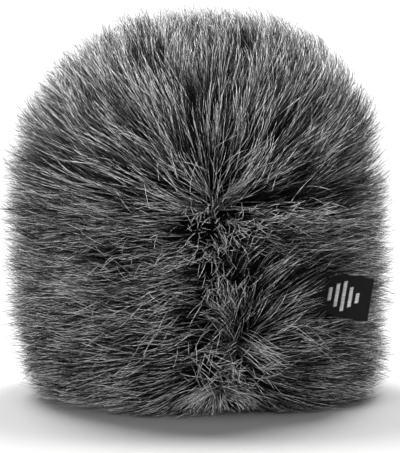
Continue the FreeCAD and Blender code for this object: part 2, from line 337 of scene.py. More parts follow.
def strand_lines(guide, normal, way, height, per_clump, spread, gather, stray, curl):
    """Strands round each guide: spread at the root, drawn together towards the tip."""
    n = len(guide) * per_clump
    owner = np.repeat(np.arange(len(guide)), per_clump)
    t = np.linspace(0, 1, RINGS)
    g, nn, w = guide[owner], normal[owner], way[owner]
    across = np.cross(nn, w)
    loose = 1 - gather * t**0.8
    off = rng.normal(scale=spread, size=(n, 2))
    fan = rng.normal(scale=stray, size=n) * np.where(rng.random(n) < WILD_SHARE, WILD_TIMES, 1.0)
    wave = rng.normal(scale=curl, size=(n, 1)) * np.sin(
        t * rng.uniform(3, 9, (n, 1)) + rng.uniform(0, 2 * math.pi, (n, 1))
    )
    sideways = off[:, :1] * loose + fan[:, None] * t**1.3 + wave * t
    along = off[:, 1:] * loose
    p = g + across * sideways[..., None] + w * along[..., None]
    guard = rng.random(n) < GUARD_SHARE
    own = height[owner] * np.where(guard, rng.normal(1.06, 0.06, n), rng.normal(0.86, 0.10, n))
    # The dome's shoulders stand a little fuller than the cloth under them, and the left foot less full.
    up = np.clip((g[..., 2] - DOME_Z) / PILE_R, 0, 1)
    low = np.clip(1 - g[..., 2] / (24 * MM), 0, 1)
    right_shoulder = np.exp(-np.sum((g - RIGHT_SHOULDER) ** 2, -1) / (22 * MM) ** 2)
    left_shoulder = np.exp(-np.sum((g - LEFT_SHOULDER) ** 2, -1) / (24 * MM) ** 2)
    left_foot = low * np.clip(-g[..., 0] / PILE_R, 0, 1)
    fuller = 1.05 + 0.6 * up**2 * (1 - up**2) + 0.19 * right_shoulder + 0.1 * left_shoulder - 0.25 * left_foot
    lift = rng.normal(scale=0.06, size=(n, 1)) * t**2
    k = np.clip(own[:, None] * rise_share(t) * fuller + lift, 0, 1.3)
    p, nn = on_shell(p, k, height[owner, None] * rise_share(t))
    p[..., 2] = np.maximum(p[..., 2], FLOOR_CLEAR)
    p = resample(p, rng.uniform(0.6, 1.0, n))
    return p, nn, owner, guard


def resample(p, share):
    """The same lines, cut off at a share of their length."""
    rings = p.shape[1]
    t = share[:, None] * np.linspace(0, rings - 1, rings)
    i = np.minimum(t.astype(int), rings - 2)
    f = (t - i)[..., None]
    row = np.arange(len(p))[:, None]
    return p[row, i] * (1 - f) + p[row, i + 1] * f


def add_object(name, data, turned=None):
    obj = bpy.data.objects.new(name, data)
    if turned:
        obj.rotation_mode = "QUATERNION"
        obj.rotation_quaternion = turned
    bpy.context.collection.objects.link(obj)
    return obj


def mesh_object(name, verts, loops, sizes, uv_name, uv):
    """An object from arrays: points, the faces' corners in a row, the faces' sizes, and each corner's UV."""
    mesh = bpy.data.meshes.new(name)
    mesh.vertices.add(len(verts))
    mesh.vertices.foreach_set("co", verts.astype(np.float32).ravel())
    mesh.loops.add(len(loops))
    mesh.loops.foreach_set("vertex_index", loops.astype(np.int32))
    mesh.polygons.add(len(sizes))
    starts = np.cumsum(np.concatenate([[0], sizes]))[:-1]
    mesh.polygons.foreach_set("loop_start", starts.astype(np.int32))
    mesh.update(calc_edges=True)
    mesh.polygons.foreach_set("use_smooth", np.ones(len(sizes), bool))
    layer = mesh.uv_layers.new(name=uv_name)
    layer.data.foreach_set("uv", uv.astype(np.float32).ravel())
    mesh.validate()
    return add_object(name, mesh)


def mend(obj, weld=False):
    """Turns all faces outwards, and with weld also closes the solid at its axis."""
    work = bmesh.new()
    work.from_mesh(obj.data)
    if weld:
        bmesh.ops.remove_doubles(work, verts=work.verts, dist=1e-7)
        bmesh.ops.dissolve_degenerate(work, edges=work.edges, dist=1e-7)
    bmesh.ops.recalc_face_normals(work, faces=work.faces)
    work.to_mesh(obj.data)
    work.free()


def strand_mesh(name, p, n, radius, shade, tone_from, sides=3, taper=0.75):
    """One mesh of closed, tapering strands. Its UV is shade column by root-to-tip, starting at tone_from."""
    count, rings = p.shape[:2]
    ahead = unit(np.gradient(p, axis=1))
    side = unit(np.cross(ahead, n))
    up = np.cross(side, ahead)
    t = np.linspace(0, 1, rings)
    narrow = 1 - taper * t**2
    ring = []
    for corner in range(sides):
        a = 2 * math.pi * corner / sides + math.pi / 2
        offset = side * math.cos(a) + up * (STRAND_FLATNESS * math.sin(a))
        ring.append(p + offset * (radius[:, None] * narrow)[..., None])
    body = np.stack(ring, 2)[:, :-1]
    verts = np.concatenate([body.reshape(count, -1, 3), p[:, -1:]], 1)
    per = sides * (rings - 1) + 1

    faces = []
    for i in range(rings - 2):
        for c in range(sides):
            d = (c + 1) % sides
            faces.append([sides * i + c, sides * i + d, sides * (i + 1) + d, sides * (i + 1) + c])
    last = sides * (rings - 2)
    for c in range(sides):
        faces.append([last + c, last + (c + 1) % sides, per - 1])
    faces.append(list(range(sides))[::-1])
    base = np.arange(count)[:, None] * per
    loops = (base + np.array(sum(faces, []))).ravel()
    sizes = np.tile([len(face) for face in faces], count)

    column = np.floor(np.clip(shade, 0, 0.9999) * SHADE_COLUMNS) / SHADE_COLUMNS
    width = np.linspace(0.02, 0.98, sides) / SHADE_COLUMNS
    v = np.concatenate([np.repeat(t[:-1], sides), [1.0]])
    v = tone_from[:, None] + (1 - tone_from[:, None]) * v
    u = np.concatenate([np.tile(width, rings - 1), [width[sides // 2]]])
    uv = np.stack([column[:, None] + u, v], -1).reshape(-1, 2)
    return mesh_object(name, verts.reshape(-1, 3), loops, sizes, "OFBake", uv[loops])


# ---- materials ----
def material(name, roughness, sheen=0.0):
    """A new Principled material, with its node tree and shader."""
    mat = bpy.data.materials.new(name)
    mat.use_nodes = True
    shader = mat.node_tree.nodes["Principled BSDF"]
    shader.inputs["Roughness"].default_value = roughness
    shader.inputs["Sheen Weight"].default_value = sheen
    shader.inputs["Specular IOR Level"].default_value = 0.15
    return mat, mat.node_tree, shader


def ramp(net, stops):
    node = net.nodes.new("ShaderNodeValToRGB")
    node.color_ramp.elements[0].position = stops[0][0]
    node.color_ramp.elements[0].color = (*[stops[0][1]] * 3, 1)
    node.color_ramp.elements[1].position = stops[-1][0]
    node.color_ramp.elements[1].color = (*[stops[-1][1]] * 3, 1)
    for position, value in stops[1:-1]:
        node.color_ramp.elements.new(position).color = (*[value] * 3, 1)
    return node


def math_node(net, operation, a, b):
    """A math node on two values, each a socket or a number."""
    node = net.nodes.new("ShaderNodeMath")
    node.operation = operation
    for socket, value in zip(node.inputs, (a, b)):
        if isinstance(value, (int, float)):
            socket.default_value = value
        else:
            net.links.new(value, socket)
    return node.outputs[0]


def times(net, a, b):
    return math_node(net, "MULTIPLY", a, b)


def plus(net, a, b):
    return math_node(net, "ADD", a, b)


def uv_axes(net, uv_name):
    """The two parts of a UV layer. "cloth" is in metres; "OFBake" is shade by root to tip."""
    uv = net.nodes.new("ShaderNodeUVMap")
    uv.uv_map = uv_name
    split = net.nodes.new("ShaderNodeSeparateXYZ")
    net.links.new(uv.outputs[0], split.inputs[0])
    return split.outputs[0], split.outputs[1]


def object_texture(net, kind, scale):
    """A texture node of that kind, fixed to the object."""
    texture = net.nodes.new(kind)
    texture.inputs["Scale"].default_value = scale
    coordinate = net.nodes.new("ShaderNodeTexCoord")
    net.links.new(coordinate.outputs["Object"], texture.inputs["Vector"])
    return texture


def shade_grey(net, shader, tone):
    """Base colour as the grey of a value."""
    grey = net.nodes.new("ShaderNodeCombineColor")
    for socket in grey.inputs:
        net.links.new(tone, socket)
    net.links.new(grey.outputs[0], shader.inputs["Base Color"])


def add_bump(net, shader, height, depth):
    bump = net.nodes.new("ShaderNodeBump")
    bump.inputs["Distance"].default_value = depth
    net.links.new(height, bump.inputs["Height"])
    net.links.new(bump.outputs[0], shader.inputs["Normal"])
    return bump


def fur_material():
    """Fibre colour from its UV: shade by column; dark root to light tip, partly the fibre's own frosted tip
    and partly painted shade deep in the pile; and painted glints that come and go along each fibre.
    """
    mat, net, shader = material("fur_fibre", 0.4)
    shader.inputs["Specular IOR Level"].default_value = 0.07
    column, along = uv_axes(net, "OFBake")
    shade = ramp(net, [(0.0, 0.003), (0.3, 0.006), (0.6, 0.018), (0.8, 0.42), (1.0, 1.0)])
    net.links.new(column, shade.inputs[0])
    # Dark root to light tip: partly the fibre's frosted tip, partly painted shade deep in the pile.
    length = ramp(net, [(0.0, 0.02), (0.45, 0.17), (0.75, 0.64), (1.0, 1.0)])
    net.links.new(along, length.inputs[0])
    # Painted glints: over two noise cells to each shade's column, and twelve along a fibre.
    place = net.nodes.new("ShaderNodeCombineXYZ")
    net.links.new(times(net, column, SHADE_COLUMNS * 2.3), place.inputs[0])
    net.links.new(times(net, along, 12.0), place.inputs[1])
    noise = net.nodes.new("ShaderNodeTexNoise")
    noise.noise_dimensions = "2D"
    noise.inputs["Scale"].default_value = 1.0
    noise.inputs["Detail"].default_value = 1.0
    net.links.new(place.outputs[0], noise.inputs["Vector"])
    painted_glint = ramp(net, [(0.32, 0.15), (0.5, 0.85), (0.68, 1.8)])
    net.links.new(noise.outputs[0], painted_glint.inputs[0])
    tone = times(net, shade.outputs[0], length.outputs[0])
    tone = times(net, tone, painted_glint.outputs[0])
    shade_grey(net, shader, math_node(net, "MINIMUM", tone, 0.95))
    return mat


FUR = fur_material()


def fibre_shade(guard, clump_tone, count, bright):
    """Shade of each fibre, each within a random range: a share of the guard hairs are painted light, as if
    they catch it, and the undercoat, under them in the pile, is painted darkest, as shade.
    """
    light = rng.random(count) < bright
    # Painted light on the bright guard hairs; painted shade on the undercoat below.
    top_coat = np.where(light, rng.uniform(0.76, 1.0, count), rng.uniform(0.18, 0.63, count))
    return np.where(guard, top_coat, rng.uniform(0.1, 0.5, count)) + clump_tone


def label_place(p):
    """Where points are in the label's own terms: along its bend, up its width, and off its middle."""
    v = p - LABEL_ROOT
    x = v @ LABEL_ALONG + LABEL_BEND_R * math.sin(LABEL_START)
    y = v @ LABEL_OUT + LABEL_BEND_R * math.cos(LABEL_START)
    heading = np.arctan2(x, y)
    radial = np.sin(heading)[..., None] * LABEL_ALONG + np.cos(heading)[..., None] * LABEL_OUT
    return (heading - LABEL_START) * LABEL_BEND_R, v @ LABEL_UP, np.hypot(x, y) - LABEL_BEND_R, radial


def clear_label(p):
    """Bends the fibres that meet the label along the face they meet, and ends those in front of it
    where it comes out of the pile. Also says which ones lie over its front."""
    along, up, off, radial = label_place(p)
    face = np.where(off[:, :1] > 0, 1.0, -1.0)
    room = 0.8 * MM
    near = (np.abs(up) < LABEL_W / 2 + 0.6 * MM) & (along > -1 * MM) & (along < LABEL_L + 1.2 * MM)
    push = np.where(near, np.maximum(room - face * off, 0), 0) * face
    p = p + push[..., None] * radial
    limit = rng.uniform(10.5, 15.5, (len(p), 1)) * MM
    over = near & (face > 0) & (along > limit)
    first = np.argmax(over, axis=1)
    row = np.arange(len(p))
    before = along[row, np.maximum(first - 1, 0)]
    part = (limit[:, 0] - before) / np.maximum(along[row, first] - before, 1e-9)
    share = np.maximum(first - 1 + np.clip(part, 0, 1), 0.4) / (p.shape[1] - 1)
    p = resample(p, np.where(over.any(1), share, 1.0))
    front = (near & (face > 0) & (along > 1.5 * MM)).any(1)
    return p, front


def painted_light_tone(root):
    """Painted light and shade on the pile: a little lighter at the foot and the crown, as painted light, and
    darker round the front seam, as painted shade.
    """
    y, z = root[:, 1], root[:, 2]
    foot = np.clip(1 - z / (16 * MM), 0, 1)
    crown = np.clip((z - 62 * MM) / (16 * MM), 0, 1)
    across = past_seam(root) * BACKING_R
    seam = np.exp(-((across / (13 * MM)) ** 2)) * (y < 0) * np.clip((70 * MM - z) / (20 * MM), 0, 1)
    # Painted light at the foot and the crown, and painted shade round the front seam.
    return 0.03 * foot + 0.08 * crown - 0.07 * seam


def grow(root, length, height, twist, per_clump, bright=0.27, **looks):
    """Lines, normals, radii and shades of the fibres that grow from clumps at root."""
    guide, normal, way = guides(root, length, height, twist)
    line, n, owner, guard = strand_lines(guide, normal, way, height, per_clump, **looks)
    # The clump's tone also carries painted light at the foot and crown and painted shade round the front
    # seam.
    tone = (rng.normal(0, 0.14, len(root)) + 0.15 * locks(root) + painted_light_tone(root))[owner]
    shade = fibre_shade(guard, tone, len(line), bright)
    thin, thick = rng.uniform(0.06, 0.09, len(line)), rng.uniform(0.09, 0.13, len(line))
    return line, n, np.where(guard & (shade > 0.7), thick, thin) * MM, shade


def add_fur(name, fibres, chosen, *nodes, tone_from=0.0):
    """One piece of the chosen fibres, for the caller to make ride."""
    line, n, radius, shade = fibres
    tone_from = np.broadcast_to(tone_from, shade.shape)
    piece = strand_mesh(name, line[chosen], n[chosen], radius[chosen], shade[chosen], tone_from[chosen])
    piece.data.materials.append(FUR)
    if nodes:
        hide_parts(*nodes)
    return piece


def make_pile():
    """The pile of the three panels, in pieces small enough to keep their triangles."""
    root = clump_roots()[0]
    root = root[~at_seam(root)]
    count = len(root)
    fibres = grow(
        root,
        STRAND_L * rng.normal(1.0, 0.08, count),
        np.clip(rng.normal(0.99, 0.085, count) + 0.08 * tousle(root), 0.6, 1.15),
        rng.normal(scale=math.radians(11), size=count),
        STRANDS_PER_CLUMP,
        spread=0.5 * CLUMP_SPACING,
        gather=0.8,
        stray=2.6 * MM,
        curl=0.5 * MM,
    )
    line, over_label = clear_label(fibres[0])
    fibres = (line, *fibres[1:])
    start = line[:, 0]
    azimuth = np.arctan2(start[:, 0], -start[:, 1])
    right = past_seam(start) > 0
    crown = start[:, 2] > SEAM_Z
    panels = {"crown": crown, "right_side": ~crown & right, "left_side": ~crown & ~right}
    for panel, inside in panels.items():
        chosen = np.flatnonzero(inside & ~over_label)
        chosen = chosen[np.argsort(azimuth[chosen], kind="stable")]
        parts = math.ceil(len(chosen) / STRANDS_PER_PIECE)
        for i, part in enumerate(np.array_split(chosen, parts)):
            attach(add_fur(f"{panel}_fur_{i + 1}", fibres, part, f"{panel}_pile"), "cover")
    # The fibres that lie on the label's face make a piece of their own.
    piece = add_fur("label_overlap_fur", fibres, np.flatnonzero(over_label))
    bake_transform(piece)
    print("fibres", len(start), "clumps", count, "over the label", over_label.sum())


# Where short ends stand up untidily along the seams: x and z of the middle, reach, all in mm, and clumps.
TUFTS = [
    (4.5, 52.5, 4, 12), (8, 47, 5, 16), (7, 40, 5, 16), (9, 33, 4, 8),
    (14, 50, 5, 16), (22, 51, 5, 14), (30, 51.5, 4, 8), (16, 13, 5, 12),
    (4, 12, 6, 14), (11, 10, 4, 10),
]


def make_tufts():
    """Short, untidy fibres along the seams, where the needle has trapped and turned them."""
    spots = [
        at_front(x * MM, z * MM) + rng.normal(scale=0.5 * reach * MM, size=(clumps, 3))
        for x, z, reach, clumps in TUFTS
    ]
    root = np.concatenate(spots)
    count = len(root)
    root = on_shell(root, np.zeros(count))[0]
    fibres = grow(
        root,
        rng.uniform(2.5, 6, count) * MM,
        rng.uniform(0.55, 0.9, count),
        rng.normal(scale=math.radians(80), size=count),
        5,
        bright=0.6,
        spread=0.7 * MM,
        gather=0.0,
        stray=2.6 * MM,
        curl=0.8 * MM,
    )
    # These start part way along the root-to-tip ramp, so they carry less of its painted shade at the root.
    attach(add_fur("seam_tufts", fibres, np.arange(len(fibres[0])), tone_from=0.3), "cover")


# Single hairs and small locks that lie out of line on the front. Each is x and z of the middle of their
# starts, how far the starts are scattered, how many, their length (mm), heading and its spread (degrees,
# from +X upwards), how much they bend either way (degrees), how deep they start and end in the pile, and
# their shade.
STRAYS = [
    (14.5, 19.5, 3, 24, 9, -34, 16, 20, 0.86, 1.04, 0.93),  # bright lock beside the lower whorl
    (12, 18, 4, 70, 12, 90, 180, 15, 0.38, 1, 0.84),  # round the lower whorl
    (5, 55, 4, 70, 13, 90, 100, 15, 0.38, 1, 0.84),  # and the upper one
    (8, 26, 4.5, 60, 9, 140, 70, 20, 0.4, 0.98, 0.82),
    (0, 15, 6, 36, 6.5, 0, 90, 20, 0.82, 1, 0.92),  # crossed hairs below the lower whorl
    (9, 13, 6, 34, 4.5, 0, 90, 30, 0.75, 0.97, 0.92),
    (18, 12, 5, 24, 6, -10, 60, 20, 0.8, 1, 0.92),
    (1, 51, 5, 30, 3.2, 120, 90, 30, 0.82, 0.99, 0.95),  # short ends down the seam
    (-1, 43, 5, 40, 3.2, 200, 60, 30, 0.86, 1.02, 0.93),
    (7, 46, 6, 50, 2.3, 0, 180, 40, 0.8, 1, 0.96),
    (5, 38, 6, 54, 2.8, 200, 80, 30, 0.8, 1, 0.94),
    (14, 49, 6, 64, 2.6, 20, 90, 40, 0.82, 1.02, 0.96),
    (23, 51, 6, 50, 3.2, 15, 60, 40, 0.86, 1.04, 0.95),
    (31, 53, 5, 26, 4.2, 10, 50, 30, 0.9, 1.04, 0.93),
    (10, 31, 5, 30, 3.8, 80, 60, 40, 0.8, 1, 0.92),
    (-8, 53, 7, 60, 10, 170, 16, 20, 0.72, 1, 0.84),  # under the crown's left edge
    (-22, 52.5, 7, 50, 10, 172, 16, 20, 0.76, 1.02, 0.84),
    (-12, 42, 10, 44, 6, 190, 45, 60, 0.92, 1.03, 0.93),  # wandering hairs over the left side
    (-26, 34, 10, 40, 7, 190, 45, 60, 0.92, 1.03, 0.93),
    (-10, 26, 9, 44, 8, 205, 30, 40, 0.92, 1.03, 0.93),
    (-20, 14, 9, 30, 7, 190, 30, 40, 0.92, 1.03, 0.93),
    (-5, 62, 9, 30, 8, 120, 35, 30, 0.92, 1.03, 0.93),
    (14, 66, 9, 30, 8, 60, 35, 30, 0.92, 1.03, 0.93),
    (26, 38, 6, 24, 6, 20, 40, 40, 0.92, 1.03, 0.93),
    (30, 22, 6, 24, 8, -15, 35, 30, 0.92, 1.03, 0.93),
]


# The fan at the foot of the front seam. Its hairs also arch over by the last number of degrees.
FAN = [
    (3.5, 7, 2.2, 58, 13, 190, 24, 20, 0.8, 1.05, 0.82, 60),
    (6, 6.5, 2.6, 28, 9, 270, 50, 10, 0.8, 1.06, 0.82, 0),
    (8, 7, 2.2, 54, 12, -10, 24, 20, 0.8, 1.05, 0.82, -60),
]


def make_strays():
    """Each hair comes up from the cloth below its start, then lies near the pile's surface."""
    rows = np.array([(*row, 0) for row in STRAYS] + FAN)
    rows = np.repeat(rows, rows[:, 3].astype(int), axis=0)
    x, z, reach, _, length, heading, spread, bend, deep, high, shade, arch = rows.T
    count = len(rows)
    x = x + rng.normal(scale=0.5, size=count) * reach
    z = z + rng.normal(scale=0.5, size=count) * reach
    heading = np.radians(heading + rng.uniform(-1, 1, count) * spread)
    bend = np.radians(bend * rng.uniform(-1, 1, count) + arch)
    length = length * rng.uniform(0.5, 1.2, count)
    t = np.linspace(0, 1, RINGS - 1)
    way = heading[:, None] + bend[:, None] * t
    step = length[:, None] / (RINGS - 2) * (t > 0)
    px = (x[:, None] + np.cumsum(np.cos(way) * step, 1)) * MM
    pz = (z[:, None] + np.cumsum(np.sin(way) * step, 1)) * MM
    depth = deep[:, None] + (high - deep)[:, None] * t + rng.normal(scale=0.025, size=(count, 1))
    guess = np.stack([px, -np.sqrt(np.maximum(PILE_R**2 - px**2, MM**2)), pz], -1)
    line, n = on_shell(guess, depth, np.ones_like(depth))
    root = on_shell(line[:, :1], np.zeros((count, 1)), depth[:, :1])
    line = np.concatenate([root[0], line], 1)
    line[..., 2] = np.maximum(line[..., 2], 0.3 * MM)
    line, over_label = clear_label(line)
    n = np.concatenate([root[1], n], 1)
    shade = np.clip(shade + rng.normal(scale=0.09, size=count), 0, 1)
    fibres = (line, n, rng.uniform(0.07, 0.115, count) * MM, shade)
    # A hair that starts higher in the pile starts further along the root-to-tip ramp, with less of its
    # painted shade at the root.
    tone_from = np.maximum(0.9 * deep - 0.3, 0)
    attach(add_fur("stray_hairs", fibres, np.flatnonzero(~over_label), tone_from=tone_from), "cover")


# ---- cloth, tape, foam and thread materials ----
def wave(net, value, pitch, shift=0.0):
    """Sine of a length, with that pitch, from -1 to 1; shift is a number or socket added to the turns."""
    turns = math_node(net, "DIVIDE", value, pitch)
    turns = plus(net, turns, shift)
    return math_node(net, "SINE", times(net, turns, 2 * math.pi), 0.0)


def knit_height(net, u, v, wale, course):
    """Columns of V-shaped loops."""
    column = math_node(net, "ABSOLUTE", wave(net, u, 2 * wale), 0.0)
    row = wave(net, v, course, times(net, column, 0.45))
    return times(net, column, plus(net, row, 1.4))


def twill_height(net, u, v, pitch, slope):
    """Slanting ribs."""
    slant = times(net, u, slope)
    rib = wave(net, v, pitch, math_node(net, "DIVIDE", slant, pitch))
    return plus(net, rib, 1.0)


def rib_height(net, u, v, pitch, across):
    """Ribs along v, each crossed by finer threads."""
    rib = math_node(net, "ABSOLUTE", wave(net, u, 2 * pitch), 0.0)
    thread = plus(net, wave(net, v, across), 2.0)
    return times(net, rib, thread)


def textile(name, tones, roughness, sheen, depth, height, *sizes):
    """A cloth whose height pattern shades it between two tones and raises its bump."""
    mat, net, shader = material(name, roughness, sheen)
    u, v = uv_axes(net, "cloth")
    raised = height(net, u, v, *sizes)
    fuzz = object_texture(net, "ShaderNodeTexNoise", 900.0)
    fuzz.inputs["Detail"].default_value = 3.0
    mixed = times(net, raised, plus(net, fuzz.outputs[0], 0.4))
    shade = ramp(net, [(0.0, tones[0]), (1.0, tones[1])])
    net.links.new(times(net, mixed, 0.5), shade.inputs[0])
    net.links.new(shade.outputs[0], shader.inputs["Base Color"])
    add_bump(net, shader, mixed, depth).inputs["Strength"].default_value = 0.7
    return mat


def foam_material():
    """Charcoal open-cell foam: lighter cell walls, with painted shade down in the cells between them."""
    mat, net, shader = material("foam_cells", 0.9)
    cells = object_texture(net, "ShaderNodeTexVoronoi", 1400.0)
    cells.feature = "DISTANCE_TO_EDGE"
    # Painted shade, darkest in the middle of each cell.
    shade = ramp(net, [(0.0, 0.06), (0.12, 0.03), (0.3, 0.006)])
    net.links.new(cells.outputs["Distance"], shade.inputs[0])
    net.links.new(shade.outputs[0], shader.inputs["Base Color"])
    add_bump(net, shader, cells.outputs["Distance"], 0.3 * MM).invert = True
    return mat


def thread_material():
    """Black sewing thread: a plied twist, and a little shine."""
    mat, net, shader = material("sewing_thread", 0.45, 0.2)
    ply = object_texture(net, "ShaderNodeTexWave", 1500.0)
    ply.bands_direction = "DIAGONAL"
    ply.inputs["Distortion"].default_value = 1.5
    shade = ramp(net, [(0.0, 0.008), (1.0, 0.05)])
    net.links.new(ply.outputs["Fac"], shade.inputs[0])
    net.links.new(shade.outputs[0], shader.inputs["Base Color"])
    add_bump(net, shader, ply.outputs["Fac"], 0.05 * MM)
    return mat


def yarn_material():
    """Pale satin yarn, each thread its own shade, with painted shade where it dives into the tape."""
    mat, net, shader = material("emblem_satin", 0.45, 0.3)
    u, v = uv_axes(net, "OFBake")
    shade = ramp(net, [(0.0, 0.30), (1.0, 0.52)])
    net.links.new(u, shade.inputs[0])
    # Painted shade at each yarn's ends, where it dives into the tape.
    painted_end_shade = ramp(net, [(0.0, 0.35), (0.2, 1.0), (0.8, 1.0), (1.0, 0.35)])
    net.links.new(v, painted_end_shade.inputs[0])
    shade_grey(net, shader, times(net, shade.outputs[0], painted_end_shade.outputs[0]))
    return mat


# ---- inner layers: solids turned about the axis between two matched profiles of (r, z) points ----
def arc_line(r, centre_r, centre_z, low_deg, high_deg, points=24):
    a = np.radians(np.linspace(low_deg, high_deg, points))
    return np.stack([centre_r + r * np.cos(a), centre_z + r * np.sin(a)], -1)


def rise_deg(r, z):
    """Elevation on the dome of radius r at height z."""
    return math.degrees(math.asin((z - DOME_Z) / r))


def side_line(r, top_z):
    """Up the side of the shell of radius r, from the turned-under corner to height top_z."""
    corner_x, corner_z = BACKING_R - CORNER_R, BACKING_LOW + CORNER_R
    return np.concatenate(
        [
            arc_line(r - corner_x, corner_x, corner_z, -90, 0),
            np.linspace((r, corner_z), (r, DOME_Z), 40)[1:],
            arc_line(r, 0, DOME_Z, 0, rise_deg(r, top_z), 6)[1:],
        ]
    )


def turned_solid(name, outer, inner, relief, start=0.0, sweep=2 * math.pi, columns=240):
    """relief(arc, along, side) raises the surface; side is 1 on the outer profile and -1 on the inner one."""
    profile = np.concatenate([outer, inner[::-1]])
    side = np.concatenate([np.ones(len(outer)), -np.ones(len(inner))])
    step = np.linalg.norm(np.diff(outer, axis=0), axis=1)
    along = np.concatenate([[0], np.cumsum(step)])
    along = np.concatenate([along, along[::-1]])
    ahead = unit(np.roll(profile, -1, 0) - np.roll(profile, 1, 0))
    out = np.stack([ahead[:, 1], -ahead[:, 0]], -1)
    whole = sweep == 2 * math.pi
    angle = start + sweep * np.arange(columns if whole else columns + 1) / columns
    reach = outer[:, 0].max()
    raised = np.broadcast_to(relief(angle[:, None] * reach, along, side), (len(angle), len(profile)))
    r = np.maximum(profile[:, 0] + out[:, 0] * raised, 0) * (profile[:, 0] > 1e-6)
    z = profile[:, 1] + out[:, 1] * raised
    verts = np.stack([r * np.cos(angle)[:, None], r * np.sin(angle)[:, None], z], -1)

    rows, count = verts.shape[:2]
    i, j = np.meshgrid(np.arange(columns), np.arange(count), indexing="ij")
    i2, j2 = (i + 1) % rows, (j + 1) % count
    faces = np.stack([i * count + j, i2 * count + j, i2 * count + j2, i * count + j2], -1).reshape(-1, 4)
    u = (start + sweep * np.stack([i, i + 1, i + 1, i], -1) / columns) * reach
    uv = np.stack([u, along[np.stack([j, j, j2, j2], -1)]], -1).reshape(-1, 4, 2)
    if not whole:
        half = np.arange(len(outer) - 1)
        cap = np.stack([half, half + 1, count - 2 - half, count - 1 - half], -1)
        last = (rows - 1) * count + cap[:, ::-1]
        faces = np.concatenate([faces, cap, last])
        cap_uv = np.stack([profile[cap], profile[cap[:, ::-1]]]).reshape(-1, 4, 2)
        uv = np.concatenate([uv, cap_uv])
    sizes = np.full(len(faces), 4)
    obj = mesh_object(name, verts.reshape(-1, 3), faces.ravel(), sizes, "cloth", uv.reshape(-1, 2))
    mend(obj, weld=True)
    return obj


def inner_piece(obj, mat, slot_name, *nodes):
    obj.data.materials.append(mat)
    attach(obj, "cover")
    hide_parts(*nodes)
    return obj


def knit_relief(wale, course, height):
    def relief(arc, along, side):
        column = np.abs(np.sin(math.pi * arc / wale))
        row = np.sin(2 * math.pi * (along / course + 0.45 * column))
        return height * (column * (0.6 + 0.4 * row) - 1)

    return relief


def foam_relief(arc, along, side):
    """Shallow cells, cut into the surface."""
    cells = np.sin(2 * math.pi * arc / (1.9 * MM) + 1.3 * np.sin(along / (0.6 * MM)))
    cells = cells * np.sin(2 * math.pi * along / (1.7 * MM) + 1.1 * np.sin(arc / (0.7 * MM)))
    return -0.12 * MM * (1 + cells)


def make_backings():
    """The knitted cloth of the three panels."""
    mat = textile("fur_backing_knit", (0.004, 0.03), 0.85, 0.4, 0.25 * MM, knit_height, 1.1 * MM, 1.4 * MM)
    relief = knit_relief(2.2 * MM, 2.8 * MM, 0.12 * MM)
    crown_low = low_z("crown_backing")
    top_z = high_z("left_side_backing")
    inside = BACKING_R - BACKING_T
    obj = turned_solid(
        "crown_cloth",
        arc_line(BACKING_R, 0, DOME_Z, rise_deg(BACKING_R, crown_low), 90),
        arc_line(inside, 0, DOME_Z, rise_deg(inside, crown_low), 90),
        relief,
    )
    inner_piece(obj, mat, "backing_knit", "crown_backing")
    gap = 0.25 * MM / BACKING_R
    seam = SEAM_AZIMUTH - math.pi / 2
    for name, start in (("right_side", seam), ("left_side", seam + math.pi)):
        obj = turned_solid(
            f"{name}_cloth",
            side_line(BACKING_R, top_z),
            side_line(inside, top_z),
            relief,
            start + gap,
            math.pi - 2 * gap,
            columns=150,
        )
        inner_piece(obj, mat, "backing_knit", f"{name}_backing")


def make_foam_and_lining():
    """The cup of foam under the backing, and its knitted lining."""
    foam = foam_material()
    foam_r = outer_r("foam_sleeve")
    lining_r = outer_r("lining_sleeve")
    foam_in = lining_r + LAYER_GAP
    low = low_z("foam_sleeve")
    cap_low = low_z("foam_cap")
    sleeve = side_line(foam_r, DOME_Z)
    inside = np.linspace((foam_in, low), (foam_in, DOME_Z), len(sleeve))
    obj = turned_solid("foam_cup_sleeve", sleeve, inside, foam_relief)
    inner_piece(obj, foam, "foam", "foam_sleeve")
    outer = arc_line(foam_r, 0, DOME_Z, rise_deg(foam_r, cap_low), 90, 60)
    inner = arc_line(foam_in, 0, DOME_Z, rise_deg(foam_in, cap_low), 90, 60)
    obj = turned_solid("foam_cup_cap", outer, inner, foam_relief)
    inner_piece(obj, foam, "foam", "foam_cap")

    knit = textile("lining_jersey", (0.006, 0.05), 0.8, 0.5, 0.15 * MM, knit_height, 0.7 * MM, 0.9 * MM)
    relief = knit_relief(1.4 * MM, 1.8 * MM, 0.06 * MM)
    inside = lining_r - LINING_T
    low, high = low_z("lining_sleeve"), high_z("lining_sleeve")
    obj = turned_solid(
        "lining_tube",
        np.linspace((lining_r, low), (lining_r, high), 110),
        np.linspace((inside, low), (inside, high), 110),
        relief,
        columns=360,
    )
    inner_piece(obj, knit, "lining_knit", "lining_sleeve")
    obj = turned_solid(
        "lining_dome",
        arc_line(lining_r, 0, DOME_Z, rise_deg(lining_r, cap_low), 90, 90),
        arc_line(inside, 0, DOME_Z, rise_deg(inside, cap_low), 90, 90),
        relief,
        columns=360,
    )
    inner_piece(obj, knit, "lining_knit", "lining_cap")


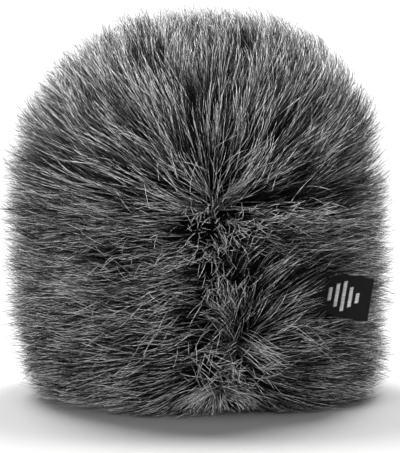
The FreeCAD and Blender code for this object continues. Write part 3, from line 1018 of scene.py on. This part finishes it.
def make_mouth():
    """The stretch ring of the base, the folded binding that the elastic gathers, and the elastic."""

    def gathers(arc, along, side):
        return side * 0.12 * MM * np.sin(arc / (0.55 * MM))

    def ribs(arc, along, side):
        return -0.1 * MM * np.abs(np.sin(math.pi * along / (1.2 * MM)))

    base_out = outer_r("base_panel")
    base_in = outer_r("mouth_binding") + LAYER_GAP
    low, high = low_z("base_panel"), high_z("base_panel")
    cloth = textile("base_stretch_cloth", (0.005, 0.035), 0.75, 0.4, 0.1 * MM, twill_height, 0.5 * MM, 0.6)
    outer = np.linspace((base_out, low), (base_in, low), 20)[::-1]
    inner = np.linspace((base_out, high), (base_in, high), 20)[::-1]
    obj = turned_solid("base_cloth", outer, inner, gathers, columns=480)
    inner_piece(obj, cloth, "stretch_cloth", "base_panel")

    tape = textile("binding_grosgrain", (0.006, 0.045), 0.6, 0.3, 0.15 * MM, rib_height, 0.6 * MM, 0.3 * MM)
    out, top = outer_r("mouth_binding"), high_z("mouth_binding")
    middle_r = (MOUTH_R + out) / 2

    def fold_line(half):
        """The U of one face of the tape, half its width from the middle."""
        return np.concatenate(
            [
                np.linspace((middle_r + half, top), (middle_r + half, half), 16),
                arc_line(half, middle_r, half, 0, -180, 24)[1:],
                np.linspace((middle_r - half, half), (middle_r - half, top), 16)[1:],
            ]
        )

    outer, inner = fold_line((out - MOUTH_R) / 2), fold_line((out - MOUTH_R) / 2 - BINDING_T)
    inner[:, 1] = np.maximum(inner[:, 1] + BINDING_T, 0)
    inner[:, 1] = np.minimum(inner[:, 1], top)
    obj = turned_solid("binding_tape", outer, inner, gathers, columns=480)
    inner_piece(obj, tape, "binding_tape", "mouth_binding")

    band = textile("elastic_braid", (0.01, 0.10), 0.6, 0.2, 0.1 * MM, rib_height, 0.4 * MM, 0.5 * MM)
    r_out = outer_r("mouth_elastic")
    low, high = low_z("mouth_elastic"), high_z("mouth_elastic")
    thick = 2 * (r_out - middle_r)
    outer = np.linspace((r_out, low), (r_out, high), 40)
    inner = np.linspace((r_out - thick, low), (r_out - thick, high), 40)
    inner_piece(turned_solid("elastic_band", outer, inner, ribs), band, "elastic", "mouth_elastic")


def finish_threads():
    """The stitches are the CAD's own; they only need their material."""
    mat = thread_material()
    for name, obj in frame["nodes"].items():
        if "thread" in name or "stitches" in name:
            obj.data.materials.clear()
            obj.data.materials.append(mat)


# ---- label ----
def label_surface(along, up, off):
    """Points of the label's bend, with the slight twist and bow of a soft tape."""
    share = along / LABEL_L
    bow = share**2 * (0.35 * MM * (2 * up / LABEL_W) ** 2 - 0.25 * MM * (2 * up / LABEL_W))
    heading = LABEL_START + along / LABEL_BEND_R
    x = -LABEL_BEND_R * math.sin(LABEL_START) + (LABEL_BEND_R + off + bow) * np.sin(heading)
    y = LABEL_BEND_R * math.cos(LABEL_START) - (LABEL_BEND_R + off + bow) * np.cos(heading)
    return LABEL_ROOT + x[..., None] * LABEL_ALONG - y[..., None] * LABEL_OUT + up[..., None] * LABEL_UP


def make_label():
    """One strip of woven tape, folded at the free end, with both cut ends at the tacked edge."""
    leg = np.linspace(0, LABEL_L, 60)[:-1]
    a = np.linspace(0, math.pi, 10)
    apart = np.full(len(leg), TAPE_APART)
    along = np.concatenate([leg, LABEL_L + TAPE_APART * np.sin(a), leg[::-1]])
    middle = np.concatenate([apart, TAPE_APART * np.cos(a), -apart])
    lie = np.stack([along, middle], -1)
    ahead = unit(np.gradient(lie, axis=0))
    out = np.stack([-ahead[:, 1], ahead[:, 0]], -1)
    up = np.linspace(-LABEL_W / 2, LABEL_W / 2, 33)
    edge = np.abs(2 * up / LABEL_W)
    # The selvedges are a thread thicker, and rounded.
    thick = TAPE_T * np.where(edge > 0.9, 1.12, 1.0) * np.where(edge > 0.97, 0.6, 1.0)
    layers = []
    for face in (0.5, -0.5):
        offset = lie[:, None] + face * out[:, None] * thick[None, :, None]
        layers.append(label_surface(offset[..., 0], np.broadcast_to(up, offset.shape[:2]), offset[..., 1]))
    rows, columns = len(lie), len(up)
    path = np.concatenate([[0], np.cumsum(np.linalg.norm(np.diff(lie, axis=0), axis=1))])

    def number(face, i, j):
        return (face * rows + i) * columns + j

    faces = []
    for i in range(rows - 1):
        for j in range(columns - 1):
            faces.append([number(0, i, j), number(0, i, j + 1), number(0, i + 1, j + 1), number(0, i + 1, j)])
            faces.append([number(1, i, j), number(1, i + 1, j), number(1, i + 1, j + 1), number(1, i, j + 1)])
        for j in (0, columns - 1):
            faces.append([number(0, i, j), number(0, i + 1, j), number(1, i + 1, j), number(1, i, j)])
    for j in range(columns - 1):
        for i in (0, rows - 1):
            faces.append([number(0, i, j), number(1, i, j), number(1, i, j + 1), number(0, i, j + 1)])
    loops = np.array(faces).ravel()
    uv = np.stack(np.broadcast_arrays(path[:, None], up[None]), -1).reshape(-1, 2)
    uv = np.concatenate([uv, uv])
    verts = np.stack(layers).reshape(-1, 3)
    obj = mesh_object("label_tape", verts, loops, np.full(len(faces), 4), "cloth", uv[loops])
    mend(obj)
    weave = textile("label_weave", (0.002, 0.010), 0.8, 0.0, 0.06 * MM, twill_height, 0.34 * MM, 1.0)
    obj.data.materials.append(weave)
    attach(obj, "label")
    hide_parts("woven_label")


def make_emblem():
    """Five upright bars in satin stitch: slanting yarns side by side over each bar's width."""
    yarn_pitch, yarn_r = 0.2 * MM, 0.12 * MM
    rounding, sunk = 0.12 * MM, 0.02 * MM
    slant = 0.35
    t = np.linspace(0, 1, 7)
    lines = []
    first = EMBLEM_AT - EMBLEM_PITCH * (len(EMBLEM_BARS) - 1) / 2
    for bar, height in enumerate(EMBLEM_BARS):
        middle = first + bar * EMBLEM_PITCH
        count = int(height * MM / yarn_pitch)
        for i in range(count):
            up = ((i + 0.5) / count - 0.5) * height * MM
            along = middle + (t - 0.5) * EMBLEM_BAR_W + rng.normal(scale=0.02 * MM)
            rise = up + (t - 0.5) * EMBLEM_BAR_W * slant
            off = TAPE_APART + TAPE_T / 2 + rounding * np.sin(math.pi * t) - sunk
            lines.append(label_surface(along, rise, off))
    count = len(lines)
    lines = np.array(lines)
    outs = np.broadcast_to(LABEL_OUT, lines.shape)
    shade, tone_from, radius = rng.random(count), np.zeros(count), np.full(count, yarn_r)
    obj = strand_mesh("emblem_stitching", lines, outs, radius, shade, tone_from, sides=6, taper=0.1)
    obj.data.materials.append(yarn_material())
    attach(obj, "label")
    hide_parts("label_emblem")


make_pile()
make_tufts()
make_strays()
make_backings()
make_foam_and_lining()
make_mouth()
finish_threads()
make_label()
make_emblem()


# ---- stage ----
def soft_light(name, comes_from, width_deg, strength):
    """A large soft light far off, which lights the floor evenly."""
    light = bpy.data.lights.new(name, "SUN")
    light.angle = math.radians(width_deg)
    light.energy = strength
    add_object(name, light, Vector(comes_from).to_track_quat("Z", "Y"))


def make_stage():
    bpy.ops.mesh.primitive_plane_add(size=6.0)
    floor = bpy.context.active_object
    floor.name = "floor"
    mat, _, shader = material("floor_paint", 0.9)
    shader.inputs["Base Color"].default_value = (0.36, 0.36, 0.36, 1)
    shader.inputs["Specular IOR Level"].default_value = 0.1
    floor.data.materials.append(mat)
    world = bpy.data.worlds.new("studio")
    bpy.context.scene.world = world
    world.use_nodes = True
    world.node_tree.nodes["Background"].inputs[0].default_value = (1, 1, 1, 1)
    world.node_tree.nodes["Background"].inputs[1].default_value = 0.22
    soft_light("back_left_light", (-0.35, 0.62, 1.0), 28, 6.0)
    soft_light("back_right_light", (0.3, 0.62, 1.0), 28, 5.4)
    soft_light("left_light", (-1.0, -0.9, 0.32), 20, 2.6)
    soft_light("right_light", (1.0, -0.9, 0.22), 20, 1.2)


def make_camera():
    distance, elevation, target = 0.9, math.radians(7.0), Vector((0.4 * MM, 0, 44.1 * MM))
    frame_height = 119.592 * MM
    cam = bpy.data.cameras.new("camera")
    cam.sensor_width = 36.0
    cam.lens = cam.sensor_width * distance / frame_height
    cam.clip_start = 0.01
    back = Vector((0, -math.cos(elevation), math.sin(elevation)))
    obj = add_object("camera", cam, (-back).to_track_quat("-Z", "Y"))
    obj.location = target + back * distance
    bpy.context.scene.camera = obj


make_stage()
make_camera()
bpy.context.scene.view_settings.view_transform = "Standard"
